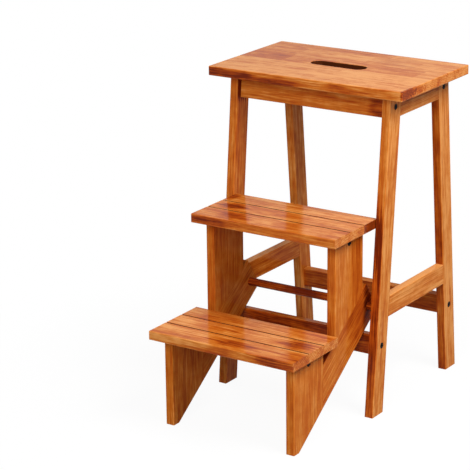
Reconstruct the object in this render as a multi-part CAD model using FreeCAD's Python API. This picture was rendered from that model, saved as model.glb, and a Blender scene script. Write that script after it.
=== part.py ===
import FreeCAD, Part
import math
import os

# A folding step stool in solid wood: a seat frame on four splayed legs, and a swinging
# unit of two treads that folds up between the legs on one wooden pivot dowel.
# Units are millimetres. X runs along the seat, +Y points away from the treads, +Z is up,
# and Z = 0 is the floor. The stool is drawn open, ready to be climbed.

V = FreeCAD.Vector

# Seat, glued up from staves that run along X
seat_height = 650.0
seat_length = 434.0
seat_depth = 270.0
seat_thickness = 19.0
seat_end_overhang = 36.5    # past the outer faces of the legs
seat_front_overhang = 24.5  # past the edges of the front legs, just under the seat
seat_back_overhang = 14.5
stave_width = 57.5
least_stave_width = 20.0    # a narrower strip is left on the stave beside it
slot_length = 123.0
slot_width = 34.0
slot_shift = 1.5            # from the middle of the seat towards the back
slot_web = 4.0              # between the slot and the seam in front of it
slot_edge_radius = 1.0

# Legs, flat outside and leaning only in Y
leg_thickness = 18.0
leg_width = 41.5
leg_splay = 58.0            # how far a foot stands out past the top of its leg

# Rails between the legs
rail_thickness = 18.0
apron_height = 44.5
side_stretcher_height = 42.0
side_stretcher_bottom = 193.0
long_stretcher_height = 40.0
long_stretcher_middle = 141.5

# Step unit
board_thickness = 18.0
unit_gap = 16.5             # between a stringer and a leg
tread_thickness = 18.0
tread_clearance = 1.0       # between the end of a tread and a leg
tread_depth = 161.0
front_plank_width = 57.0
groove_chamfer = 1.8
lower_tread_top = 198.0
lower_tread_reach = 279.7   # from the front legs, at the tread's height, to its front edge
upper_tread_top = 393.4
upper_tread_reach = 150.7
side_board_width = 104.0
foot_flat = 19.5            # flat bottom of the lower side board
stringer_width = 73.0
stringer_pivot_offset = 31.4  # from the pivot's axis to the stringer's lower edge
stringer_end = 20.7         # from the pivot's axis to the stringer's square end
cross_rail_width = 22.0
cross_rail_height = 23.0

# Pivot
pivot_height = 215.6
pivot_diameter = 16.0
pivot_socket_depth = 12.0
pivot_end_gap = 0.4
pivot_clearance = 0.05      # on the radius, in the stringers and in the legs

# Tenons
side_tenon_thickness = 6.0
side_tenon_length = 10.0
bolted_tenon_thickness = 10.0
bolted_tenon_length = 8.0
tenon_shoulder = 8.0        # from the edges of a rail to its tenon
tread_tenon_width = 12.0
tread_tenon_inset = 8.0     # from the edges of a side board to the tenons on its top
loose_tenon_length = 24.0
loose_tenon_width = 46.0
mortise_clearance = 0.1
mortise_end_gap = 0.5

# Screws and bolts
bolt_head_diameter = 12.0
bolt_head_height = 3.0
bolt_diameter = 6.0
bolt_length = 44.0
bolt_past_nut = 3.0         # from the nut's axis to the end of the bolt
nut_diameter = 10.0
nut_length = 13.0
hex_key_width = 4.0
hex_key_depth = 2.0
rail_screw_head_diameter = 10.0
rail_screw_diameter = 5.0
rail_screw_length = 48.0
wood_screw_head_diameter = 8.0
wood_screw_diameter = 4.0
wood_screw_head_height = 3.0
screw_bite = 11.0           # how deep a wood screw goes into the second piece
tread_screw_spacing = 93.0
seat_screw_spacing = 180.0
seat_screw_grip = 18.0      # wood between the head of a seat screw and the seat
lock_screw_head_diameter = 7.0
lock_screw_gap = 1.0        # from the end of a lock screw to the pivot's axis
hole_clearance = 0.05       # on the radius, around every bolt and screw
hole_end_gap = 0.5
head_clearance = 0.2        # on the radius, around a sunk head
edge_radius = 1.6           # eased corners of every board
drill_lead = 2.0            # how far above a sloping face a drilled hole is begun

# For picking out edges of the drawn shapes
hair = 0.01
margin = 1.0

# Places worked out from the sizes above
leg_top = seat_height - seat_thickness
leg_spread_top = seat_depth - seat_front_overhang - seat_back_overhang
seat_middle = (seat_back_overhang - seat_front_overhang) / 2
lean = math.atan(leg_splay / leg_top)
leg_run = leg_width / math.cos(lean)
leg_outer_x = seat_length / 2 - seat_end_overhang
leg_inner_x = leg_outer_x - leg_thickness
board_outer_x = leg_inner_x - unit_gap
board_inner_x = board_outer_x - board_thickness
board_middle_x = (board_outer_x + board_inner_x) / 2
tread_half = leg_inner_x - tread_clearance
apron_bottom = leg_top - apron_height


def leg_edge(z):
    """Distance in Y from the middle of the legs to their outer edge at height z."""
    return leg_spread_top / 2 + leg_splay * (1 - z / leg_top)


def leg_middle(z):
    """Middle of a front leg's width at height z."""
    return leg_run / 2 - leg_edge(z)


lower_tread_front = -leg_edge(lower_tread_top) - lower_tread_reach
upper_tread_front = -leg_edge(upper_tread_top) - upper_tread_reach
lower_board_front = lower_tread_front + (tread_depth - side_board_width) / 2
upper_board_front = upper_tread_front + (tread_depth - side_board_width) / 2
lower_board_top = lower_tread_top - tread_thickness
upper_board_top = upper_tread_top - tread_thickness
board_joint_y = lower_board_front + side_board_width
heel_y = lower_board_front + foot_flat
pivot_y = leg_middle(pivot_height)
pivot_distance = math.hypot(pivot_y - heel_y, pivot_height)
slope = math.atan2(pivot_height, pivot_y - heel_y) - math.asin(stringer_pivot_offset / pivot_distance)
pivot_reach = math.sqrt(pivot_distance ** 2 - stringer_pivot_offset ** 2)
stringer_reach = pivot_reach + stringer_end
stringer_rise = stringer_width / math.cos(slope)

# The stool's middle in Y is halfway between the lower tread and the rear feet.
frame_y = (-lower_tread_front - leg_edge(0)) / 2

# Small building blocks


def yz_prism(points, x_low, x_high):
    """A prism with its outline in the YZ plane; y is measured from the middle of the legs."""
    corners = [V(x_low, frame_y + y, z) for y, z in points]
    face = Part.Face(Part.makePolygon(corners + corners[:1]))
    return face.extrude(V(x_high - x_low, 0, 0))


def rod(diameter, start, end):
    """A round bar from start to end; both are (x, y, z) from the middle of the legs."""
    foot = V(start[0], frame_y + start[1], start[2])
    tip = V(end[0], frame_y + end[1], end[2])
    return Part.makeCylinder(diameter / 2, (tip - foot).Length, foot, tip - foot)


def mirrored(shape):
    """The same piece on the other side of the stool."""
    return shape.mirror(V(0, 0, 0), V(1, 0, 0))


def turned_back(shape):
    """A front piece of the leg frame turned into its rear twin."""
    return shape.mirror(V(0, frame_y, 0), V(0, 1, 0))


def ease(shape, wanted, radius=edge_radius):
    """Round the edges for which wanted(edge) is true."""
    edges = [edge for edge in shape.Edges if wanted(edge)]
    return shape.makeFillet(radius, edges)


def along_x(edge):
    return abs(edge.tangentAt(edge.FirstParameter).x) > 1 - hair


def in_profile(edge):
    return abs(edge.tangentAt(edge.FirstParameter).x) < hair


def middle(edge):
    """Middle of a straight edge, with y measured from the middle of the legs."""
    point = edge.valueAt((edge.FirstParameter + edge.LastParameter) / 2)
    return V(point.x, point.y - frame_y, point.z)


def cut_all(shape, tools):
    for tool in tools:
        shape = shape.cut(tool)
    return shape


def group(shapes):
    return Part.makeCompound(shapes)


def save(name, shape):
    shape.exportStep("parts/" + name + ".step")


# Joints of the leg frame, all drawn at the right front leg

long_rail_heights = (leg_top - apron_height / 2, long_stretcher_middle)
side_rails = ((apron_bottom, leg_top),
              (side_stretcher_bottom, side_stretcher_bottom + side_stretcher_height))


def side_tenon(bottom, top, extra=0.0, end_gap=0.0):
    """The tenon of a side rail, or its mortise in the leg."""
    low = bottom + tenon_shoulder - extra
    high = top - tenon_shoulder + extra
    length = side_tenon_length + end_gap
    outline = [(leg_run - leg_edge(low) - length, low), (leg_run - leg_edge(low), low),
               (leg_run - leg_edge(high), high), (leg_run - leg_edge(high) - length, high)]
    x = leg_inner_x + rail_thickness / 2
    half = side_tenon_thickness / 2 + extra
    return yz_prism(outline, x - half, x + half)


def bolted_tenon(z, rail_height, extra=0.0, end_gap=0.0):
    """The short tenon on the end of a long rail, or its mortise; the bolt runs through it."""
    low = z - rail_height / 2 + tenon_shoulder - extra
    high = z + rail_height / 2 - tenon_shoulder + extra
    half = bolted_tenon_thickness / 2 + extra
    outline = [(leg_middle(low) - half, low), (leg_middle(low) + half, low),
               (leg_middle(high) + half, high), (leg_middle(high) - half, high)]
    return yz_prism(outline, leg_inner_x, leg_inner_x + bolted_tenon_length + end_gap)


def mortises():
    """The four mortises of the right front leg."""
    sides = [side_tenon(bottom, top, mortise_clearance, mortise_end_gap) for bottom, top in side_rails]
    heights = (apron_height, long_stretcher_height)
    for z, rail_height in zip(long_rail_heights, heights):
        sides.append(bolted_tenon(z, rail_height, mortise_clearance, mortise_end_gap))
    return sides


bolt_seat_x = leg_outer_x - bolt_head_height
bolt_tip_x = bolt_seat_x - bolt_length
nut_x = bolt_tip_x + bolt_past_nut


def hexagon(y, z):
    corner = hex_key_width / math.sqrt(3)
    turns = [math.radians(60 * i) for i in range(6)]
    return [(y + corner * math.cos(turn), z + corner * math.sin(turn)) for turn in turns]


def key_socket(y, z, head_x):
    return yz_prism(hexagon(y, z), head_x - hex_key_depth, head_x)


def frame_bolt(z):
    """A connector bolt through the leg into the end of a long rail."""
    y = leg_middle(z)
    head = rod(bolt_head_diameter, (bolt_seat_x, y, z), (leg_outer_x, y, z))
    shank = rod(bolt_diameter, (bolt_tip_x, y, z), (bolt_seat_x, y, z))
    return head.fuse(shank).cut(key_socket(y, z, leg_outer_x))


def frame_bolt_hole(z):
    y = leg_middle(z)
    head = rod(bolt_head_diameter + 2 * head_clearance, (bolt_seat_x, y, z), (leg_outer_x, y, z))
    tip_x = bolt_tip_x - hole_end_gap
    shank = rod(bolt_diameter + 2 * hole_clearance, (tip_x, y, z), (leg_outer_x, y, z))
    return head.fuse(shank)


def barrel_nut(z):
    """A cross-dowel nut that stands in a long rail and takes the bolt."""
    bar = rod(nut_diameter, in_rail(z, -nut_length / 2), in_rail(z, nut_length / 2))
    return bar.cut(frame_bolt_hole(z))


def barrel_nut_hole(z, rail_height):
    """Drilled from below, in line with the rail's lean, so that no face shows it."""
    start = in_rail(z, -rail_height / 2 - drill_lead)
    return rod(nut_diameter + 2 * hole_clearance, start, in_rail(z, nut_length / 2 + hole_end_gap))


def in_rail(z, rise):
    """The point at rise along the lean from where the bolt at height z meets its nut."""
    return (nut_x, leg_middle(z) + rise * math.sin(lean), z + rise * math.cos(lean))


# The leg frame


def front_leg():
    outline = [(-leg_edge(0), 0), (leg_run - leg_edge(0), 0),
               (leg_run - leg_edge(leg_top), leg_top), (-leg_edge(leg_top), leg_top)]
    leg = yz_prism(outline, leg_inner_x, leg_outer_x)
    leg = ease(leg, lambda edge: in_profile(edge) and edge.Length > leg_top / 2)
    return cut_all(leg, mortises() + [frame_bolt_hole(z) for z in long_rail_heights])


def pivot_socket():
    return rod(pivot_diameter + 2 * pivot_clearance, (leg_inner_x, pivot_y, pivot_height),
               (leg_inner_x + pivot_socket_depth, pivot_y, pivot_height))


def side_rail(bottom, top):
    """A rail between a front and a rear leg, cut to the lean of both."""
    low = leg_edge(bottom) - leg_run
    high = leg_edge(top) - leg_run
    rail = yz_prism([(-low, bottom), (low, bottom), (high, top), (-high, top)],
                    leg_inner_x, leg_inner_x + rail_thickness)
    rail = ease(rail, lambda edge: in_profile(edge) and edge.Length > low and under_seat(edge))
    tenon = side_tenon(bottom, top)
    return rail.fuse([tenon, turned_back(tenon)])


def under_seat(edge):
    """False for an edge that lies against the seat."""
    return middle(edge).z < leg_top - margin


def long_rail(outline, z, rail_height, eased):
    """A rail along X with a bolted tenon on each end."""
    rail = ease(yz_prism(outline, -leg_inner_x, leg_inner_x), eased)
    tenon = bolted_tenon(z, rail_height)
    rail = rail.fuse([tenon, mirrored(tenon)])
    holes = [frame_bolt_hole(z), barrel_nut_hole(z, rail_height)]
    return cut_all(rail, holes + [mirrored(hole) for hole in holes])


def front_apron():
    """Under the seat: its faces lean with the legs and its top is bevelled flat."""
    half = rail_thickness / math.cos(lean) / 2
    low = leg_middle(apron_bottom)
    high = leg_middle(leg_top)
    outline = [(low - half, apron_bottom), (low + half, apron_bottom),
               (high + half, leg_top), (high - half, leg_top)]
    apron = long_rail(outline, long_rail_heights[0], apron_height,
                      lambda edge: along_x(edge) and under_seat(edge))
    return cut_all(apron, [seat_screw_hole(x) for x in seat_screw_places])


def front_stretcher():
    """Between the front legs near the floor, leaning with them."""
    z = long_stretcher_middle
    half_t = rail_thickness / 2
    half_h = long_stretcher_height / 2
    outline = []
    for side, end in ((-half_t, -half_h), (half_t, -half_h), (half_t, half_h), (-half_t, half_h)):
        outline.append((leg_middle(z) + side * math.cos(lean) + end * math.sin(lean),
                        z - side * math.sin(lean) + end * math.cos(lean)))
    return long_rail(outline, z, long_stretcher_height, along_x)


# Seat


seat_screw_places = (-seat_screw_spacing / 2, seat_screw_spacing / 2)
seat_screw_seat = leg_top - seat_screw_grip
seat_screw_y = leg_middle((leg_top + seat_screw_seat) / 2)


def seat_screw(x):
    """Up through an apron into the seat, with its head in a deep hole from below."""
    neck = (x, seat_screw_y, seat_screw_seat)
    head = rod(wood_screw_head_diameter, (x, seat_screw_y, seat_screw_seat - wood_screw_head_height), neck)
    return head.fuse(rod(wood_screw_diameter, neck, (x, seat_screw_y, leg_top + screw_bite)))


def seat_screw_hole(x):
    sink = rod(wood_screw_head_diameter + 2 * head_clearance,
               (x, seat_screw_y, apron_bottom), (x, seat_screw_y, seat_screw_seat))
    shaft = rod(wood_screw_diameter + 2 * hole_clearance, (x, seat_screw_y, seat_screw_seat),
                (x, seat_screw_y, leg_top + screw_bite + hole_end_gap))
    return sink.fuse(shaft)


def hand_slot():
    radius = slot_width / 2
    run = slot_length / 2 - radius
    y = frame_y + seat_middle + slot_shift
    bar = Part.makeBox(2 * run, slot_width, seat_thickness, V(-run, y - radius, leg_top))
    ends = [Part.makeCylinder(radius, seat_thickness, V(x, y, leg_top)) for x in (-run, run)]
    return bar.fuse(ends).removeSplitter()


def seat_panel():
    """The whole seat, before it is divided into its staves."""
    corner = V(-seat_length / 2, frame_y + seat_middle - seat_depth / 2, leg_top)
    panel = Part.makeBox(seat_length, seat_depth, seat_thickness, corner)
    panel = panel.makeFillet(edge_radius, panel.Edges)
    panel = ease(panel.cut(hand_slot()), on_slot_rim, slot_edge_radius)
    holes = [seat_screw_hole(x) for x in seat_screw_places]
    return cut_all(panel, holes + [turned_back(hole) for hole in holes])


def stave_edges():
    """The front edge, every seam and the back edge; the seams are set out from the slot."""
    front = seat_middle - seat_depth / 2
    back = seat_middle + seat_depth / 2
    first = seat_middle + slot_shift - slot_width / 2 - slot_web
    while first - front > stave_width + least_stave_width:
        first -= stave_width
    seams = [first]
    while back - seams[-1] > stave_width + least_stave_width:
        seams.append(seams[-1] + stave_width)
    return [front] + seams + [back]


def seat_stave(panel, near, far):
    corner = V(-seat_length / 2, frame_y + near, leg_top)
    return panel.common(Part.makeBox(seat_length, far - near, seat_thickness, corner))


def on_slot_rim(edge):
    box = edge.BoundBox
    flat = box.ZLength < hair
    inside = box.XMin > -slot_length / 2 - margin and box.XMax < slot_length / 2 + margin
    return flat and inside


# Step unit


def stringer_edge(y):
    """Height of the lower edge of the stringers at y."""
    return (y - heel_y) * math.tan(slope)


def along_stringer(reach, rise):
    """The point at reach along the stringer's lower edge and rise square to it."""
    return (heel_y + reach * math.cos(slope) - rise * math.sin(slope),
            reach * math.sin(slope) + rise * math.cos(slope))


def board_prism(outline, extra=0.0):
    """A tenon in the middle of the board thickness, right side."""
    half = side_tenon_thickness / 2 + extra
    return yz_prism(outline, board_middle_x - half, board_middle_x + half)


def butt_tenon(extra=0.0, end_gap=0.0):
    """A loose tenon through the joint of the lower side board and the stringer."""
    half_l = loose_tenon_length / 2 + end_gap
    half_w = loose_tenon_width / 2 + extra
    z = stringer_edge(board_joint_y) + stringer_rise / 2
    near = board_joint_y - half_l
    far = board_joint_y + half_l
    outline = [(near, z - half_w), (far, z - half_w), (far, z + half_w), (near, z + half_w)]
    return board_prism(outline, extra)


def edge_tenon(extra=0.0, end_gap=0.0):
    """A loose tenon square to the stringer's upper edge, up into the upper side board."""
    half_l = loose_tenon_length / 2 + end_gap
    half_w = loose_tenon_width / 2 + extra
    y = upper_board_front + side_board_width / 2
    z = stringer_edge(y) + stringer_rise
    reach = (y - heel_y) * math.cos(slope) + z * math.sin(slope)
    corners = ((-half_w, -half_l), (half_w, -half_l), (half_w, half_l), (-half_w, half_l))
    outline = [along_stringer(reach + along, stringer_width + across) for along, across in corners]
    return board_prism(outline, extra)


def tread_tenons(board_front, board_top, extra=0.0, end_gap=0.0):
    """The two tenons on top of a side board, or their mortises in the planks."""
    back = board_front + side_board_width - tread_tenon_inset
    top = board_top + side_tenon_length + end_gap
    tenons = []
    for near in (board_front + tread_tenon_inset, back - tread_tenon_width):
        low = near - extra
        high = near + tread_tenon_width + extra
        tenons.append(board_prism([(low, board_top), (high, board_top), (high, top), (low, top)], extra))
    return tenons


def stringer():
    outline = [(board_joint_y, stringer_edge(board_joint_y)),
               along_stringer(stringer_reach, 0),
               along_stringer(stringer_reach, stringer_width),
               (board_joint_y, stringer_edge(board_joint_y) + stringer_rise)]
    board = yz_prism(outline, board_inner_x, board_outer_x)
    board = ease(board, lambda edge: in_profile(edge) and on_stringer_rim(edge))
    holes = [butt_tenon(mortise_clearance, mortise_end_gap), edge_tenon(mortise_clearance, mortise_end_gap)]
    return cut_all(board, holes + [pivot_hole(), lock_screw_hole()])


def on_stringer_rim(edge):
    """The arrises of the stringer's lower edge and of its square end."""
    spot = middle(edge)
    reach = (spot.y - heel_y) * math.cos(slope) + spot.z * math.sin(slope)
    rise = spot.z * math.cos(slope) - (spot.y - heel_y) * math.sin(slope)
    return rise < margin or reach > stringer_reach - margin


def lower_side_board():
    """Upright grain: it stands on the floor, and the stringer's line cuts off its heel."""
    joint_low = stringer_edge(board_joint_y)
    outline = [(lower_board_front, 0), (heel_y, 0), (board_joint_y, joint_low),
               (board_joint_y, lower_board_top), (lower_board_front, lower_board_top)]
    board = yz_prism(outline, board_inner_x, board_outer_x)
    board = ease(board, lambda edge: in_profile(edge) and on_lower_board_rim(edge))
    board = board.fuse(tread_tenons(lower_board_front, lower_board_top))
    hole = rail_screw_hole(lower_board_front, lower_board_top)
    return cut_all(board, [butt_tenon(mortise_clearance, mortise_end_gap), hole])


def on_lower_board_rim(edge):
    spot = middle(edge)
    front = abs(spot.y - lower_board_front) < hair
    heel = abs(spot.z - stringer_edge(spot.y)) < hair and spot.z > margin
    return front or heel


def upper_side_board():
    """Upright grain: it stands on the stringer's upper edge and carries the upper tread."""
    back = upper_board_front + side_board_width
    outline = [(upper_board_front, stringer_edge(upper_board_front) + stringer_rise),
               (back, stringer_edge(back) + stringer_rise),
               (back, upper_board_top), (upper_board_front, upper_board_top)]
    board = yz_prism(outline, board_inner_x, board_outer_x)
    board = ease(board, lambda edge: abs(edge.tangentAt(edge.FirstParameter).z) > 1 - hair)
    board = board.fuse(tread_tenons(upper_board_front, upper_board_top))
    hole = rail_screw_hole(upper_board_front, upper_board_top)
    return cut_all(board, [edge_tenon(mortise_clearance, mortise_end_gap), hole])


# Pivot dowel and the two screws that lock it in the stringers


def pivot_hole():
    return rod(pivot_diameter + 2 * pivot_clearance, (board_inner_x, pivot_y, pivot_height),
               (board_outer_x, pivot_y, pivot_height))


lock_screw_tip = stringer_pivot_offset - lock_screw_gap


def stringer_bar(diameter, low, high):
    """A round bar square to the stringer's lower edge, in line with the pivot."""
    start = along_stringer(pivot_reach, low)
    end = along_stringer(pivot_reach, high)
    return rod(diameter, (board_middle_x,) + start, (board_middle_x,) + end)


def lock_screw():
    head = stringer_bar(lock_screw_head_diameter, 0, wood_screw_head_height)
    return head.fuse(stringer_bar(wood_screw_diameter, wood_screw_head_height, lock_screw_tip))


def lock_screw_hole():
    sink = stringer_bar(lock_screw_head_diameter + 2 * head_clearance, 0, wood_screw_head_height)
    shaft = stringer_bar(wood_screw_diameter + 2 * hole_clearance, 0, lock_screw_tip + hole_end_gap)
    return sink.fuse(shaft)


def pivot_dowel():
    half = leg_inner_x + pivot_socket_depth - pivot_end_gap
    bar = rod(pivot_diameter, (-half, pivot_y, pivot_height), (half, pivot_y, pivot_height))
    return cut_all(bar, [lock_screw_hole(), mirrored(lock_screw_hole())])


# Treads and the rails under them


def cross_rail_y(board_front):
    return board_front + side_board_width / 2


def cross_rail(board_front, top):
    y = cross_rail_y(board_front)
    half = cross_rail_width / 2
    outline = [(y - half, top - cross_rail_height), (y + half, top - cross_rail_height),
               (y + half, top), (y - half, top)]
    rail = yz_prism(outline, -board_inner_x, board_inner_x)
    rail = ease(rail, lambda edge: along_x(edge) and middle(edge).z < top - margin)
    ends = rail_screw_hole(board_front, top)
    holes = [ends, mirrored(ends)] + [tread_screw_hole(x, y, top) for x in tread_screw_places]
    return cut_all(rail, holes)


def rail_screw(board_front, top):
    """Through a side board into the end of the cross rail, right side."""
    y = cross_rail_y(board_front)
    z = top - cross_rail_height / 2
    seat_x = board_outer_x - bolt_head_height
    head = rod(rail_screw_head_diameter, (seat_x, y, z), (board_outer_x, y, z))
    shank = rod(rail_screw_diameter, (board_outer_x - rail_screw_length, y, z), (seat_x, y, z))
    return head.fuse(shank).cut(key_socket(y, z, board_outer_x))


def rail_screw_hole(board_front, top):
    y = cross_rail_y(board_front)
    z = top - cross_rail_height / 2
    seat_x = board_outer_x - bolt_head_height
    sink = rod(rail_screw_head_diameter + 2 * head_clearance, (seat_x, y, z), (board_outer_x, y, z))
    tip_x = board_outer_x - rail_screw_length - hole_end_gap
    return sink.fuse(rod(rail_screw_diameter + 2 * hole_clearance, (tip_x, y, z), (board_outer_x, y, z)))


tread_screw_places = (-tread_screw_spacing / 2, tread_screw_spacing / 2)


def tread_screw(x, y, top):
    """Up through a cross rail into the middle plank."""
    low = top - cross_rail_height
    neck = low + wood_screw_head_height
    head = rod(wood_screw_head_diameter, (x, y, low), (x, y, neck))
    return head.fuse(rod(wood_screw_diameter, (x, y, neck), (x, y, top + screw_bite)))


def tread_screw_hole(x, y, top):
    low = top - cross_rail_height
    neck = low + wood_screw_head_height
    sink = rod(wood_screw_head_diameter + 2 * head_clearance, (x, y, low), (x, y, neck))
    shaft = rod(wood_screw_diameter + 2 * hole_clearance, (x, y, neck),
                (x, y, top + screw_bite + hole_end_gap))
    return sink.fuse(shaft)


def plank_edges(front):
    """The Y of the four long edges that bound the three planks of a tread."""
    rest = (tread_depth - front_plank_width) / 2
    first = front + front_plank_width
    return (front, first, first + rest, front + tread_depth)


def tread_plank(front, tread_top, board_front, index):
    """One plank; a chamfer on each meeting edge makes the groove between two planks."""
    edges = plank_edges(front)
    low, high = edges[index], edges[index + 1]
    bottom = tread_top - tread_thickness
    outline = [(low, bottom), (high, bottom), (high, tread_top), (low, tread_top)]
    plank = yz_prism(outline, -tread_half, tread_half)
    meeting = {0: (high,), 1: (low, high), 2: (low,)}[index]
    grooved = [edge for edge in plank.Edges if meets(edge, meeting, tread_top)]
    plank = plank.makeChamfer(groove_chamfer, grooved)
    free = {0: low, 2: high}.get(index)
    if free is not None:
        plank = ease(plank, lambda edge: along_x(edge) and abs(middle(edge).y - free) < hair)
    return cut_all(plank, plank_holes(board_front, bottom))


def meets(edge, meeting, tread_top):
    spot = middle(edge)
    at_joint = any(abs(spot.y - y) < hair for y in meeting)
    return along_x(edge) and at_joint and abs(spot.z - tread_top) < hair


def plank_holes(board_front, bottom):
    mortises = tread_tenons(board_front, bottom, mortise_clearance, mortise_end_gap)
    y = cross_rail_y(board_front)
    screws = [tread_screw_hole(x, y, bottom) for x in tread_screw_places]
    return mortises + [mirrored(mortise) for mortise in mortises] + screws


# Write every piece

os.makedirs("parts", exist_ok=True)

seat = seat_panel()
seams = stave_edges()
for number, (near, far) in enumerate(zip(seams, seams[1:])):
    save("seat_stave_%d" % (number + 1), seat_stave(seat, near, far))

leg = front_leg()
right_front_leg = leg.cut(pivot_socket())
save("front_leg_right", right_front_leg)
save("front_leg_left", mirrored(right_front_leg))
save("rear_leg_right", turned_back(leg))
save("rear_leg_left", mirrored(turned_back(leg)))

for name, (rail_bottom, rail_top) in zip(("side_apron", "side_stretcher"), side_rails):
    rail = side_rail(rail_bottom, rail_top)
    save(name + "_right", rail)
    save(name + "_left", mirrored(rail))

apron = front_apron()
save("front_apron", apron)
save("rear_apron", turned_back(apron))
lower_rail = front_stretcher()
save("front_stretcher", lower_rail)
save("rear_stretcher", turned_back(lower_rail))


def four_corners(shapes):
    """Copies of right front pieces at all four legs."""
    both = shapes + [mirrored(shape) for shape in shapes]
    return group(both + [turned_back(shape) for shape in both])


save("frame_bolts", four_corners([frame_bolt(z) for z in long_rail_heights]))
save("barrel_nuts", four_corners([barrel_nut(z) for z in long_rail_heights]))
seat_screws = [seat_screw(x) for x in seat_screw_places]
save("seat_screws", group(seat_screws + [turned_back(screw) for screw in seat_screws]))

unit_sides = {"stringer": stringer(), "lower_side_board": lower_side_board(),
              "upper_side_board": upper_side_board()}
for name, shape in unit_sides.items():
    save(name + "_right", shape)
    save(name + "_left", mirrored(shape))

treads = {"lower": (lower_tread_front, lower_tread_top, lower_board_front, lower_board_top),
          "upper": (upper_tread_front, upper_tread_top, upper_board_front, upper_board_top)}
rail_screws = []
tread_screws = []
for level, (front, tread_top, board_front, board_top) in treads.items():
    for number in range(3):
        save("%s_tread_plank_%d" % (level, number + 1), tread_plank(front, tread_top, board_front, number))
    save(level + "_cross_rail", cross_rail(board_front, board_top))
    rail_screws.append(rail_screw(board_front, board_top))
    rail_middle = cross_rail_y(board_front)
    tread_screws += [tread_screw(x, rail_middle, board_top) for x in tread_screw_places]

save("cross_rail_screws", group(rail_screws + [mirrored(screw) for screw in rail_screws]))
save("tread_screws", group(tread_screws))
loose_tenons = [butt_tenon(), edge_tenon()]
save("loose_tenons", group(loose_tenons + [mirrored(tenon) for tenon in loose_tenons]))
save("pivot_dowel", pivot_dowel())
save("pivot_lock_screws", group([lock_screw(), mirrored(lock_screw())]))
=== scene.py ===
import math

import bpy
from mathutils import Matrix, Vector


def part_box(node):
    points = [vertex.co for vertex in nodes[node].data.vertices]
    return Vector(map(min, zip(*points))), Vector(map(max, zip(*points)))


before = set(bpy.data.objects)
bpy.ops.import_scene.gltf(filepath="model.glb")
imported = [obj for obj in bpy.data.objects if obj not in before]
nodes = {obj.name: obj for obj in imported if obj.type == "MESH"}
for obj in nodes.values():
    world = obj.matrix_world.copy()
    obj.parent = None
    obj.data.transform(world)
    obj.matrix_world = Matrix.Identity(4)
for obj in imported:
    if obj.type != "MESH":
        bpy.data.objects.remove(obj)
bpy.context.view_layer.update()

# The looks of a folding step stool in lacquered hardwood: wood grain that follows each
# board, black bolt heads, a white studio floor, soft light and the photograph's camera.
# Lengths are in metres, and inside the wood texture in millimetres.

scene = bpy.context.scene

# Camera, at the photograph's angle: yaw and pitch of the line of sight, in degrees
camera_place = Vector((1.9464, -3.1655, 1.5215))
camera_yaw = 33.70
camera_pitch = 17.71
camera_roll = -0.655
camera_lens = 152.17
sensor_width = 36.0
view_reach = 50.0

# Directions of faces and of the grain
toward_front = (0, -1, 0)
toward_sky = (0, 0, 1)
toward_right = (1, 0, 0)
along_seat = Vector((1, 0, 0))
across_seat = Vector((0, 1, 0))
upright = Vector((0, 0, 1))
leg_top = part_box("front_leg_right")[1].z
leg_splay = 0.058
front_leg_grain = Vector((0, leg_splay, leg_top)).normalized()
rear_leg_grain = Vector((0, -leg_splay, leg_top)).normalized()
stringer_slope = math.radians(34.9)
stringer_grain = Vector((0, math.cos(stringer_slope), math.sin(stringer_slope)))
stringer_edge = (0, -math.sin(stringer_slope), math.cos(stringer_slope))

# Wood colours, from the palest to the darkest, as linear red, green and blue
pale_wood = (0.72, 0.295, 0.075)
gold_wood = (0.56, 0.160, 0.018)
brown_wood = (0.45, 0.090, 0.007)
dark_wood = (0.30, 0.044, 0.004)
burnt_wood = (0.14, 0.016, 0.003)
# painted shade for the inside of grooves and slots
painted_groove_shade = (0.060, 0.014, 0.004)
rim_wood = (0.020, 0.006, 0.003)
red_wood = (0.30, 0.036, 0.004)
wood_ramp = ((0.0, pale_wood), (0.3, gold_wood), (0.55, brown_wood), (0.8, dark_wood),
             (1.0, burnt_wood))

# Noise layers of the wood: length and width of a feature in millimetres, a shift that keeps
# the layers apart, detail and roughness
layer_forms = {
    "broad": (200, 14, 0.0, 3, 0.6),
    "streak": (90, 4.5, 9.0, 3, 0.6),
    "blotch": (60, 24, 3.0, 2, 0.5),
    "ripple": (17, 20, 29.0, 2, 0.5),
    "fine": (60, 1.8, 11.0, 2, 0.5),
    "fibre": (16, 0.55, 7.0, 3, 0.6),
    "vein": (150, 14, 17.0, 3, 0.6),
    "pore": (7, 0.42, 23.0, 1, 0.5),
    "patch edge": (90, 4.5, 2.0, 3, 0.6),
    "ring wander": (260, 70, 0.0, 2, 0.5),
    "ring wobble": (45, 11, 5.0, 2, 0.5),
}

# How much darker or lighter the layers make the wood, and how much they break up the red veins
figure_shares = {"broad": 0.7, "streak": 0.65, "blotch": 0.5, "ripple": 0.3, "fine": 0.8, "fibre": 0.35}
vein_shares = {"fine": 0.35, "fibre": 0.2}

# Each board and each glued block in it has its own place in the noise
board_step = 13.37
block_step = 37.7

# Growth rings: where the pith lies off the board and how far the rings stray, in millimetres;
# how dark a ring gets from its inside to its outside; and how much the rings show
pith_offset = (70.0, 95.0)
ring_wander = 34
ring_wobble = 3.2
ring_profile = ((0.0, 0.0), (0.62, 0.25), (0.9, 1.0), (1.0, 0.0))
face_ring_share = 0.10
end_ring_share = 0.22

# Where the noise turns into a vein or a pore, where a face counts as end grain, and the soft
# edge of a patch
vein_ramp = ((0.53, 0.0), (0.68, 1.0))
pore_ramp = ((0.66, 0.0), (0.74, 1.0))
end_ramp = ((0.6, 0.0), (0.9, 1.0))
patch_ramp = ((0.35, 1.0), (1.0, 0.0))
patch_raggedness = 1.5
turn_sharpness = 4.0
pore_share = 0.35
end_brown_share = 0.15

# Lacquer and the relief under it
fibre_height = 0.5
relief_strength = 0.12
relief_height = 0.0003
least_roughness = 0.38
roughness_range = 0.16
coat_roughness = 0.12
coat_ior = 1.2

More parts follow.
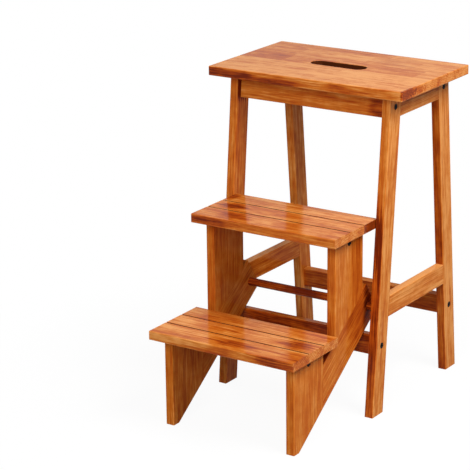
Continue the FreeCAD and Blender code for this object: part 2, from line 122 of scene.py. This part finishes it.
# Screws that show in the side boards
screw_head_radius = 0.005
rim_radius = 0.0064         # of the dark ring round a head

# Studio: the floor's colour for the camera and for the light that it throws back; the share of
# plain white in it next to the stool, and where that starts to grow and where all is white
floor_pale = (0.9, 0.9, 0.9)
floor_bounce = (0.38, 0.38, 0.38)
shadow_floor_white = 0.94
shadow_start = 0.30
shadow_end = 0.85
floor_reach = 12.0
floor_drop = 0.0002         # below the feet
world_light = 0.08
lamp_aim = Vector((0, 0, 0.33))

# Numbers of the colour sockets on a Mix node
mix_inputs = (6, 7)
mix_output = 2


class Graph:
    """Adds nodes to a material or a world, and joins them up."""

    def __init__(self, owner):
        owner.use_nodes = True
        self.tree = owner.node_tree
        self.tree.nodes.clear()

    def node(self, kind, **settings):
        made = self.tree.nodes.new(kind)
        for key, value in settings.items():
            setattr(made, key, value)
        return made

    def plug(self, socket, value):
        if isinstance(value, bpy.types.NodeSocket):
            self.tree.links.new(value, socket)
        else:
            socket.default_value = value

    def math(self, operation, first, second=0.0):
        made = self.node("ShaderNodeMath", operation=operation)
        self.plug(made.inputs[0], first)
        self.plug(made.inputs[1], second)
        return made.outputs[0]

    def vector(self, operation, first, second=(0.0, 0.0, 0.0)):
        made = self.node("ShaderNodeVectorMath", operation=operation)
        self.plug(made.inputs[0], first)
        self.plug(made.inputs[1], second)
        return made.outputs["Value" if operation in ("DOT_PRODUCT", "LENGTH") else "Vector"]

    def scaled(self, place, factor):
        made = self.vector("SCALE", place)
        made.node.inputs["Scale"].default_value = factor
        return made

    def combine(self, x, y, z):
        made = self.node("ShaderNodeCombineXYZ")
        for socket, value in zip(made.inputs, (x, y, z)):
            self.plug(socket, value)
        return made.outputs[0]

    def noise(self, place, detail, roughness):
        made = self.node("ShaderNodeTexNoise")
        self.plug(made.inputs["Vector"], place)
        made.inputs["Scale"].default_value = 1.0
        made.inputs["Detail"].default_value = detail
        made.inputs["Roughness"].default_value = roughness
        return made.outputs[0]

    def ramp(self, factor, stops, interpolation="LINEAR"):
        """Colours or plain numbers by factor; stops are (place, colour or number)."""
        made = self.node("ShaderNodeValToRGB")
        made.color_ramp.interpolation = interpolation
        elements = made.color_ramp.elements
        while len(elements) < len(stops):
            elements.new(0.5)
        for element, (position, color) in zip(elements, stops):
            element.position = position
            element.color = (*color, 1.0) if isinstance(color, tuple) else (color, color, color, 1.0)
        self.plug(made.inputs[0], factor)
        return made.outputs[0]

    def mix(self, factor, first, second):
        made = self.node("ShaderNodeMix", data_type="RGBA")
        self.plug(made.inputs["Factor"], factor)
        for number, color in zip(mix_inputs, (first, second)):
            self.plug(made.inputs[number], (*color, 1.0) if isinstance(color, tuple) else color)
        return made.outputs[mix_output]

    def blend(self, factor, first, second):
        """One shader over another."""
        made = self.node("ShaderNodeMixShader")
        for socket, value in zip(made.inputs, (factor, first, second)):
            self.plug(socket, value)
        return made.outputs[0]

    def principled(self, color, roughness, settings):
        """Principled shader; settings are what its other named sockets get."""
        made = self.node("ShaderNodeBsdfPrincipled")
        self.plug(made.inputs["Base Color"], color)
        self.plug(made.inputs["Roughness"], roughness)
        for key, value in settings.items():
            self.plug(made.inputs[key], value)
        return made.outputs[0]

    def finish(self, shader, kind="ShaderNodeOutputMaterial"):
        self.plug(self.node(kind).inputs["Surface"], shader)


class Board(Graph):
    """Texture places in one board, in millimetres along its grain and across it."""

    def __init__(self, material, grain, seed, joint_places):
        super().__init__(material)
        across = Vector((1, 0, 0)) if abs(grain.x) < 0.5 else Vector((0, 1, 0))
        third = grain.cross(across).normalized()
        across = third.cross(grain).normalized()
        coordinate = self.node("ShaderNodeTexCoord")
        self.normal = coordinate.outputs["Normal"]
        self.place = self.scaled(coordinate.outputs["Object"], 1000.0)
        self.along = self.vector("DOT_PRODUCT", self.place, tuple(grain))
        self.side = self.vector("DOT_PRODUCT", self.place, tuple(across))
        self.depth = self.vector("DOT_PRODUCT", self.place, tuple(third))
        block = self.math("MULTIPLY", self.block_number(joint_places), block_step)
        self.seed = self.math("ADD", block, board_step * seed)
        self.layers = {}
        facing = self.math("ABSOLUTE", self.vector("DOT_PRODUCT", self.normal, tuple(grain)))
        self.end = self.ramp(facing, end_ramp)

    def block_number(self, joint_places):
        """0 before the first joint along the grain, 1 after it, and so on."""
        number = 0.0
        for start in joint_places:
            number = self.math("ADD", number, self.math("GREATER_THAN", self.along, start))
        return number

    def stretched(self, length, width, shift):
        """A noise place whose features are about length by width millimetres."""
        shifted = self.math("ADD", self.seed, shift)
        return self.combine(self.math("ADD", self.math("DIVIDE", self.along, length), shifted),
                            self.math("DIVIDE", self.side, width),
                            self.math("ADD", self.math("DIVIDE", self.depth, width), shifted))

    def layer(self, name):
        """One of the noise layers, made once for each board."""
        if name not in self.layers:
            length, width, shift, detail, roughness = layer_forms[name]
            self.layers[name] = self.noise(self.stretched(length, width, shift), detail, roughness)
        return self.layers[name]

    def centred(self, value, size):
        """A value from 0 to 1, turned into one that swings round 0 by size."""
        return self.math("MULTIPLY", self.math("SUBTRACT", value, 0.5), size)

    def with_layers(self, value, shares, strength=1.0):
        """The value with the swing of each layer added by its share."""
        for name, share in shares.items():
            value = self.math("ADD", value, self.centred(self.layer(name), share * strength))
        return value

    def ring(self, spacing):
        """Sawtooth of the growth rings, round a pith that lies off the board."""
        wander = self.centred(self.layer("ring wander"), ring_wander)
        wobble = self.centred(self.layer("ring wobble"), ring_wobble)
        side = self.math("ADD", self.math("ADD", self.side, wander), pith_offset[0])
        depth = self.math("ADD", self.math("ADD", self.depth, wander), pith_offset[1])
        radius = self.vector("LENGTH", self.combine(side, depth, 0.0))
        return self.math("FRACT", self.math("DIVIDE", self.math("ADD", radius, wobble), spacing))

    def turned(self, direction):
        """1 on a face that looks in the direction, and 0 on one that is square to it."""
        toward = self.math("MAXIMUM", self.vector("DOT_PRODUCT", self.normal, direction), 0.0)
        return self.math("POWER", toward, turn_sharpness)

    def offset(self, centre, size):
        """Place from the centre of a box or an oval, in parts of its size."""
        middle = tuple(1000 * value for value in centre)
        scale = tuple(1 / (1000 * value) for value in size)
        return self.vector("MULTIPLY", self.vector("SUBTRACT", self.place, middle), scale)

    def box_mask(self, centre, half):
        """1 inside a box, and 0 outside it."""
        parts = self.node("ShaderNodeSeparateXYZ")
        self.plug(parts.inputs[0], self.vector("ABSOLUTE", self.offset(centre, half)))
        furthest = self.math("MAXIMUM", parts.outputs[0], parts.outputs[1])
        return self.math("LESS_THAN", self.math("MAXIMUM", furthest, parts.outputs[2]), 1.0)

    def ball_mask(self, centre, radius):
        """1 inside a ball, and 0 outside it."""
        away = self.vector("LENGTH", self.offset(centre, (radius, radius, radius)))
        return self.math("LESS_THAN", away, 1.0)

    def patch(self, centre, size):
        """1 in the middle of a patch with streaky edges, and 0 outside it."""
        ragged = self.centred(self.layer("patch edge"), patch_raggedness)
        away = self.math("ADD", self.vector("LENGTH", self.offset(centre, size)), ragged)
        return self.ramp(away, patch_ramp, "EASE")


def figure_level(board, figure, spacing):
    """How much darker or lighter the grain itself makes the wood."""
    level = board.with_layers(0.0, figure_shares, figure)
    late = board.ramp(board.ring(spacing), ring_profile, "EASE")
    ring_share = board.math("ADD", board.math("MULTIPLY", board.end, end_ring_share), face_ring_share)
    return board.math("ADD", level, board.math("MULTIPLY", board.centred(late, 1.0), ring_share))


def local_level(board, level, faces, joints, patches):
    """The level with the changes on single faces, past joints and in patches."""
    for direction, amount in faces:
        level = board.math("ADD", level, board.math("MULTIPLY", board.turned(direction), amount))
    for start, change in joints:
        past = board.math("GREATER_THAN", board.along, start)
        level = board.math("ADD", level, board.math("MULTIPLY", past, change))
    for centre, size, amount, *direction in patches:
        mask = board.patch(centre, size)
        if direction:
            mask = board.math("MULTIPLY", mask, board.turned(direction[0]))
        level = board.math("ADD", level, board.math("MULTIPLY", mask, amount))
    return level


def wood_color(board, level, pore, red):
    vein = board.ramp(board.with_layers(board.layer("vein"), vein_shares), vein_ramp, "EASE")
    color = board.ramp(level, wood_ramp)
    color = board.mix(board.math("MULTIPLY", vein, red), color, red_wood)
    color = board.mix(board.math("MULTIPLY", pore, pore_share), color, burnt_wood)
    return board.mix(board.math("MULTIPLY", board.end, end_brown_share), color, brown_wood)


def wood_relief(board, pore):
    """Fine fibres and sunken pores."""
    bump = board.node("ShaderNodeBump")
    bump.inputs["Strength"].default_value = relief_strength
    bump.inputs["Distance"].default_value = relief_height
    fibres = board.math("MULTIPLY", board.layer("fibre"), fibre_height)
    board.plug(bump.inputs["Height"], board.math("SUBTRACT", fibres, pore))
    return bump.outputs[0]


def wood(name, grain, tone, seed, red=0.3, figure=1.3, coat=0.4, spacing=5.0, joints=(),
         patches=(), faces=(), grooves=(), rims=()):
    """Lacquered hardwood. tone is 0 for the palest board and 1 for the darkest.

    red is the share of red veins, figure the strength of the grain, and spacing that of the
    growth rings in millimetres. The other changes of tone are joints, as place along the grain
    in millimetres and change; patches, as centre, size, change and perhaps the one direction
    that it faces; and faces, as direction and change. Some patches and face changes are painted
    shade or painted light, as the callers say. grooves are boxes of painted shade, and rims are
    the centres of dark rings round screw heads.
    """
    material = bpy.data.materials.new(name)
    board = Board(material, grain, seed, [start for start, change in joints])
    level = board.math("ADD", figure_level(board, figure, spacing), tone)
    level = local_level(board, level, faces, joints, patches)
    pore = board.ramp(board.layer("pore"), pore_ramp)
    color = wood_color(board, level, pore, red)
    # painted shade inside grooves and slots
    for centre, half in grooves:
        color = board.mix(board.box_mask(centre, half), color, painted_groove_shade)
    for centre in rims:
        color = board.mix(board.ball_mask(centre, rim_radius), color, rim_wood)
    roughness = board.math("MULTIPLY", board.layer("fine"), roughness_range)
    roughness = board.math("ADD", roughness, least_roughness)
    settings = {"Normal": wood_relief(board, pore), "Specular IOR Level": 0.0, "Coat Weight": coat,
                "Coat Roughness": coat_roughness, "Coat IOR": coat_ior}
    board.finish(board.principled(color, roughness, settings))
    return material


def finish_node(name, material):
    slots = nodes[name].material_slots
    for slot in slots:
        slot.material = material
    if not slots:
        nodes[name].data.materials.append(material)


# Seat frame


def seat_patches(low, high):
    """Dark and pale figure on the seat by stave, from the box of the front one."""
    front = (
        ((-0.18, low.y, 0.640), (0.105, 0.010, 0.016), 0.66),
        ((-0.06, low.y, 0.636), (0.100, 0.010, 0.009), 0.45),
        ((0.09, low.y, 0.638), (0.090, 0.010, 0.010), 0.32),
        ((high.x, low.y, 0.640), (0.030, 0.012, 0.020), -0.20, toward_front),
        ((high.x, low.y + 0.020, 0.643), (0.006, 0.060, 0.018), 0.85),
    )
    second = (((high.x, low.y + 0.060, 0.642), (0.006, 0.045, 0.012), 0.55),)
    third = (((0.115, 0.148, high.z), (0.065, 0.018, 0.010), 0.22),)
    return {1: front, 2: second, 3: third}


def dress_seat():
    low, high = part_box("seat_stave_1")
    patches = seat_patches(low, high)
    # The walls of the seat's slot get painted shade, as a groove.
    slot_middle = (0, 0.12725, 0.640)
    slot_half = (0.0650, 0.0190, 0.0096)
    looks = {
        1: dict(tone=0.11, red=0.2, front=0.20, end=0.06),
        2: dict(tone=0.17, red=0.1, joints=((30.0, -0.10),), end=0.10),
        3: dict(tone=0.27, red=0.2, joints=((-217.0, 0.32), (-120.0, -0.26), (176.0, -0.14)),
                grooves=((slot_middle, slot_half),), end=0.16),
        4: dict(tone=0.37, red=0.3, joints=((-125.0, -0.10), (30.0, -0.05), (140.0, -0.07)), end=0.12),
        5: dict(tone=0.28, red=0.3, joints=((-100.0, 0.08), (60.0, -0.14))),
    }
    for number, look in looks.items():
        name = "seat_stave_%d" % number
        faces = ((toward_front, look.pop("front", 0.0)), (toward_right, look.pop("end", 0.0)))
        finish_node(name, wood(name, along_seat, seed=number, coat=0.55, faces=faces,
                               patches=patches.get(number, ()), **look))


def dress_legs():
    """Each leg has a tone, a change of it on the front, which on the rear right leg is painted shade,
    painted light that makes the right side of the right legs lighter, and perhaps dark patches.
    """
    # The right front leg's front gets darker towards the bottom and carries a painted shadow of the
    # upper tread; the left front leg's inner face gets painted shade under the seat.
    lower_front = ((0.172, -0.025, 0.17), (0.030, 0.050, 0.30), 0.36, toward_front)
    tread_shadow_on_leg = ((0.172, -0.012, 0.335), (0.030, 0.030, 0.085), 0.50, toward_front)
    seat_shade_on_leg = ((-0.163, 0.018, 0.612), (0.020, 0.060, 0.040), 1.20, toward_right)
    looks = {
        "front_leg_right": (0.34, 0.08, (lower_front, tread_shadow_on_leg)),
        "front_leg_left": (0.43, 0.0, (seat_shade_on_leg,)),
        # Painted shade: the rear right leg's front is made darker.
        "rear_leg_right": (0.27, 0.40, ()),
        "rear_leg_left": (0.32, 0.0, ()),
    }
    for number, (name, (tone, front, patches)) in enumerate(looks.items()):
        grain = front_leg_grain if name.startswith("front") else rear_leg_grain
        # Painted light: the right side of the right legs is made lighter.
        outer = -0.10 if name.endswith("right") else 0.0
        look = wood(name, grain, tone, 11 + number, figure=1.05, spacing=6.0, patches=patches,
                    faces=((toward_front, front), (toward_right, outer)))
        finish_node(name, look)


def dress_rails():
    # The long stretchers' dark tones are partly their own and partly painted shade.
    tones = {"front_apron": 0.39, "rear_apron": 0.48, "front_stretcher": 0.88, "rear_stretcher": 0.68}
    apron_end = ((0.150, 0.022, 0.605), (0.030, 0.020, 0.040), 0.40)
    for number, (name, tone) in enumerate(tones.items()):
        patches = (apron_end,) if name == "front_apron" else ()
        # Painted highlight: the tops of these rails are made lighter.
        look = wood(name, along_seat, tone, 21 + number, figure=1.1, patches=patches,
                    faces=((toward_sky, -0.40),))
        finish_node(name, look)
    tones = {"side_apron_right": 0.32, "side_apron_left": 0.32,
             "side_stretcher_right": 0.25, "side_stretcher_left": 0.46}
    for number, (name, tone) in enumerate(tones.items()):
        # Painted highlight: the tops of these rails are made lighter too.
        look = wood(name, across_seat, tone, 31 + number, figure=1.0, faces=((toward_sky, -0.42),))
        finish_node(name, look)


# Step unit


# Dark and pale figure on the tread planks: the change at the right end; on the top as place,
# length, width and change; and on the front face as place, length and change
plank_figure = {
    "upper_tread_plank_1": dict(
        tone=0.32, end=-0.02,
        top=((-0.080, 0.050, 0.026, 0.50), (0.035, 0.045, 0.024, 0.22)),
        front=((-0.130, 0.085, 0.52), (0.050, 0.060, 0.12))),
    "upper_tread_plank_2": dict(
        tone=0.30, end=0.02,
        top=((-0.120, 0.045, 0.020, 0.75), (0.015, 0.060, 0.012, 0.25))),
    # Its dark right end is partly the end grain's own colour and partly painted shade beside the front
    # leg.
    "upper_tread_plank_3": dict(
        tone=0.26, end=0.95,
        top=((-0.160, 0.025, 0.030, 0.55), (0.000, 0.040, 0.012, 0.18))),
    "lower_tread_plank_1": dict(
        tone=0.34, end=0.20,
        top=((-0.150, 0.080, 0.030, -0.20), (0.025, 0.080, 0.022, 0.42), (0.145, 0.040, 0.026, 0.26)),
        front=((0.128, 0.070, 0.54), (0.000, 0.040, 0.22), (-0.130, 0.090, -0.26))),
    "lower_tread_plank_2": dict(
        tone=0.35, end=0.10,
        top=((-0.150, 0.060, 0.030, -0.20), (-0.060, 0.060, 0.014, 0.34), (0.000, 0.040, 0.020, 0.10),
             (0.120, 0.050, 0.026, 0.55))),
    "lower_tread_plank_3": dict(
        tone=0.35, end=-0.05,
        top=((-0.150, 0.040, 0.030, -0.26), (0.110, 0.080, 0.020, 0.22))),
}


def plank_patches(name, top, end, front=()):
    low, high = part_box(name)
    middle = (low.y + high.y) / 2
    half_way = (low.z + high.z) / 2
    on_top = [((x, middle, high.z), (length, width, 0.012), change) for x, length, width, change in top]
    on_front = [((x, low.y, half_way), (length, 0.006, 0.016), change) for x, length, change in front]
    on_end = [((high.x, middle, half_way), (0.012, 0.050, 0.030), end, toward_right)]
    return on_top + on_front + on_end


def tread_grooves(level):
    """Painted shade in the two V grooves of a tread."""
    low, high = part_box("%s_tread_plank_2" % level)
    half = ((high.x - low.x) / 2 - 0.001, 0.0017, 0.003)
    return tuple(((0, edge, high.z), half) for edge in (low.y, high.y))


def dress_treads():
    for number, (name, figure) in enumerate(plank_figure.items()):
        figure = dict(figure)
        tone = figure.pop("tone")
        grooves = tread_grooves(name.split("_")[0])
        look = wood(name, along_seat, tone, 71 + number, red=0.4, figure=1.2, coat=0.65,
                    patches=plank_patches(name, **figure), grooves=grooves)
        finish_node(name, look)


def dress_stringer(side, outer, seed, red, coat):
    # Painted shade on the stringer: beside the front leg, above the pivot, and on its top edge under the
    # tread.
    shade_by_leg = ((outer, -0.035, 0.205), (0.010, 0.070, 0.080), 0.32)
    shade_above_pivot = ((outer, -0.006, 0.235), (0.010, 0.018, 0.050), 0.35)
    shade_under_tread = ((0.9 * outer, -0.155, 0.160), (0.030, 0.040, 0.030), 1.2, stringer_edge)
    name = "stringer_" + side
    look = wood(name, stringer_grain, 0.39, seed, red=red, figure=0.9, coat=coat,
                patches=(shade_by_leg, shade_above_pivot, shade_under_tread))
    finish_node(name, look)


def dress_side_boards():
    screws_low, screws_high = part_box("cross_rail_screws")
    lower_head = (screws_low.y + screw_head_radius, screws_low.z + screw_head_radius)
    upper_head = (screws_high.y - screw_head_radius, screws_high.z - screw_head_radius)
    sides = {"right": (screws_high.x, 41, 0.25, 0.3), "left": (screws_low.x, 46, 0.55, 0.12)}
    for side, (outer, seed, red, coat) in sides.items():
        dress_stringer(side, outer, seed, red, coat)
        # Painted shade on the upper board's rear strip, beside the front leg.
        leg_gap_shade = ((outer, -0.045, 0.285), (0.012, 0.034, 0.200), 0.24)
        # The front change darkens the boards' front faces, as painted shade under the tread.
        boards = {"lower_side_board_": (seed + 1, 0.04, lower_head, ()),
                  "upper_side_board_": (seed + 2, 0.12, upper_head, (leg_gap_shade,))}
        for name, (board_seed, front, head, patches) in boards.items():
            look = wood(name + side, upright, 0.38, board_seed, red=red, figure=0.9, spacing=4.5,
                        coat=coat, faces=((toward_front, front),), patches=patches,
                        rims=((outer, *head),))
            finish_node(name + side, look)


def dress_small_wood():
    # The cross rails' dark tone is partly their own and partly painted shade under the treads.
    tones = {"lower_cross_rail": 0.80, "upper_cross_rail": 0.80, "pivot_dowel": 0.95}
    for number, (name, tone) in enumerate(tones.items()):
        finish_node(name, wood(name, along_seat, tone, 61 + number))
    finish_node("loose_tenons", wood("loose_tenons", upright, 0.2, 90))


# Metal


def steel(name, grit, detail, shades, roughness, settings):
    """Metal with faint clouds or scuffs; grit is their number in a metre."""
    material = bpy.data.materials.new(name)
    graph = Graph(material)
    place = graph.scaled(graph.node("ShaderNodeTexCoord").outputs["Object"], grit)
    scuff = graph.noise(place, detail, 0.6)
    graph.finish(graph.principled(graph.ramp(scuff, shades), graph.ramp(scuff, roughness), settings))
    return material


def dress_hardware():
    black_oxide = steel("black_steel", 900.0, 4, ((0.4, 0.002), (0.75, 0.006)),
                        ((0.3, 0.55), (0.7, 0.75)), {"Specular IOR Level": 0.08})
    zinc_plate = steel("zinc_steel", 700.0, 3, ((0.35, 0.42), (0.7, 0.6)),
                       ((0.3, 0.28), (0.7, 0.42)), {"Metallic": 1.0})
    for name in ("frame_bolts", "seat_screws", "cross_rail_screws", "tread_screws", "pivot_lock_screws"):
        finish_node(name, black_oxide)
    finish_node("barrel_nuts", zinc_plate)


# Studio


def add_floor():
    """A floor that shows white to the camera and keeps a soft shadow round the stool."""
    mesh = bpy.data.meshes.new("floor")
    signs = ((-1, -1), (1, -1), (1, 1), (-1, 1))
    corners = [(x * floor_reach, y * floor_reach, -floor_drop) for x, y in signs]
    mesh.from_pydata(corners, [], [(0, 1, 2, 3)])
    floor = bpy.data.objects.new("floor", mesh)
    scene.collection.objects.link(floor)
    material = bpy.data.materials.new("floor")
    graph = Graph(material)
    rays = graph.node("ShaderNodeLightPath")
    matt = graph.node("ShaderNodeBsdfDiffuse")
    graph.plug(matt.inputs["Color"], graph.mix(rays.outputs["Is Camera Ray"], floor_bounce, floor_pale))
    away = graph.vector("LENGTH", graph.node("ShaderNodeTexCoord").outputs["Object"])
    share = graph.ramp(away, ((shadow_start, shadow_floor_white), (shadow_end, 1.0)), "EASE")
    seen = graph.math("MAXIMUM", rays.outputs["Is Camera Ray"], rays.outputs["Is Glossy Ray"])
    white = graph.node("ShaderNodeEmission")
    graph.finish(graph.blend(graph.math("MULTIPLY", seen, share), matt.outputs[0], white.outputs[0]))
    mesh.materials.append(material)


def light_world():
    """Faint light from all round, which the camera and mirrors see as plain white."""
    world = bpy.data.worlds.new("studio")
    scene.world = world
    graph = Graph(world)
    rays = graph.node("ShaderNodeLightPath")
    seen = graph.math("MAXIMUM", rays.outputs["Is Camera Ray"], rays.outputs["Is Glossy Ray"])
    seen = graph.math("MAXIMUM", seen, rays.outputs["Is Transmission Ray"])
    shaders = []
    for strength in (world_light, 1.0):
        shader = graph.node("ShaderNodeBackground")
        shader.inputs["Color"].default_value = (1.0, 1.0, 1.0, 1.0)
        shader.inputs["Strength"].default_value = strength
        shaders.append(shader.outputs[0])
    graph.finish(graph.blend(seen, *shaders), "ShaderNodeOutputWorld")


def add_lamp(name, toward, distance, size, level, mirrored=True):
    """A square lamp. A white surface at the stool's middle that faces it renders as level."""
    direction = Vector(toward).normalized()
    lamp = bpy.data.lights.new(name, "AREA")
    lamp.shape = "SQUARE"
    lamp.size = size
    lamp.energy = level * (math.pi * distance) ** 2
    item = bpy.data.objects.new(name, lamp)
    item.location = lamp_aim + direction * distance
    item.rotation_euler = direction.to_track_quat("Z", "Y").to_euler()
    item.visible_glossy = mirrored
    scene.collection.objects.link(item)


def add_camera():
    data = bpy.data.cameras.new("camera")
    data.lens = camera_lens
    data.sensor_width = sensor_width
    data.clip_end = view_reach
    item = bpy.data.objects.new("camera", data)
    turn = Matrix.Rotation(math.radians(camera_yaw), 4, "Z")
    tilt = Matrix.Rotation(math.radians(90 - camera_pitch), 4, "X")
    roll = Matrix.Rotation(math.radians(camera_roll), 4, "Z")
    item.matrix_world = Matrix.Translation(camera_place) @ turn @ tilt @ roll
    scene.collection.objects.link(item)
    scene.camera = item


dress_seat()
dress_legs()
dress_rails()
dress_side_boards()
dress_treads()
dress_small_wood()
dress_hardware()
add_floor()
light_world()
add_lamp("right_lamp", (0.70, -0.12, 0.80), distance=3.2, size=1.6, level=1.13)
add_lamp("front_lamp", (0.22, -0.80, 0.46), distance=3.6, size=2.0, level=0.66)
add_lamp("back_lamp", (-0.80, 0.60, 0.12), distance=3.6, size=2.0, level=0.45, mirrored=False)
add_camera()
scene.view_settings.view_transform = "Standard"
